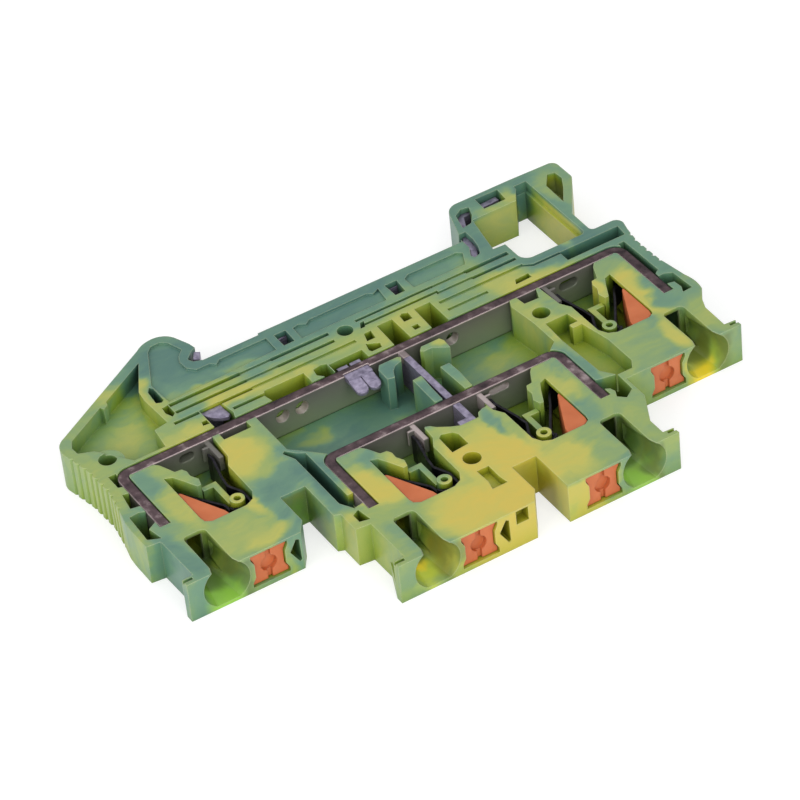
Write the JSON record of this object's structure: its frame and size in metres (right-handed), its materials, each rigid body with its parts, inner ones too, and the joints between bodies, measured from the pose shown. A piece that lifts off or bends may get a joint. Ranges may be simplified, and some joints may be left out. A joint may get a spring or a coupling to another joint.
{
  "type": "earth terminal block",
  "caption": "Slim two-tier earth terminal block for a 35 mm mounting rail, open on one side, with push-in wire entries, sprung clamps and release buttons.",
  "frame": {"origin": "middle of the closed side face, on the surface that the block lies on", "axes": "+Z through the thickness, away from the closed side; +X along the length; +Y from the wire entries to the rail"},
  "size_m": [0.0728, 0.0502, 0.0052],
  "materials": {
    "housing_plastic": "satin moulding, marbled green and yellow",
    "busbar_metal": "tarnished copper alloy",
    "link_metal": "tinned copper alloy",
    "spring_steel": "dark spring steel",
    "button_plastic": "satin orange"
  },
  "bodies": {
    "block": {"housing": "housing_plastic", "lower_busbar": "busbar_metal", "upper_busbar": "busbar_metal", "cross_link": "link_metal", "rail_contact": "link_metal", "earth_clip": "link_metal", "strap_end": "link_metal", "spring_a": "spring_steel", "spring_b": "spring_steel", "spring_c": "spring_steel", "spring_d": "spring_steel"},
    "release_a": {"button_a": "button_plastic"},
    "release_b": {"button_b": "button_plastic"},
    "release_c": {"button_c": "button_plastic"},
    "release_d": {"button_d": "button_plastic"}
  },
  "joints": [
    {"name": "button_a_press", "type": "slide", "parent": "block", "child": "release_a", "axis": [0, 1, 0], "range_m": [0, 0.0018], "stiffness_N_per_m": 400, "springref_m": -0.0005, "deforming": ["spring_a"]},
    {"name": "button_b_press", "type": "slide", "parent": "block", "child": "release_b", "axis": [0, 1, 0], "range_m": [0, 0.0018], "stiffness_N_per_m": 400, "springref_m": -0.0005, "deforming": ["spring_b"]},
    {"name": "button_c_press", "type": "slide", "parent": "block", "child": "release_c", "axis": [0, 1, 0], "range_m": [0, 0.0018], "stiffness_N_per_m": 400, "springref_m": -0.0005, "deforming": ["spring_c"]},
    {"name": "button_d_press", "type": "slide", "parent": "block", "child": "release_d", "axis": [0, 1, 0], "range_m": [0, 0.0018], "stiffness_N_per_m": 400, "springref_m": -0.0005, "deforming": ["spring_d"]}
  ]
}
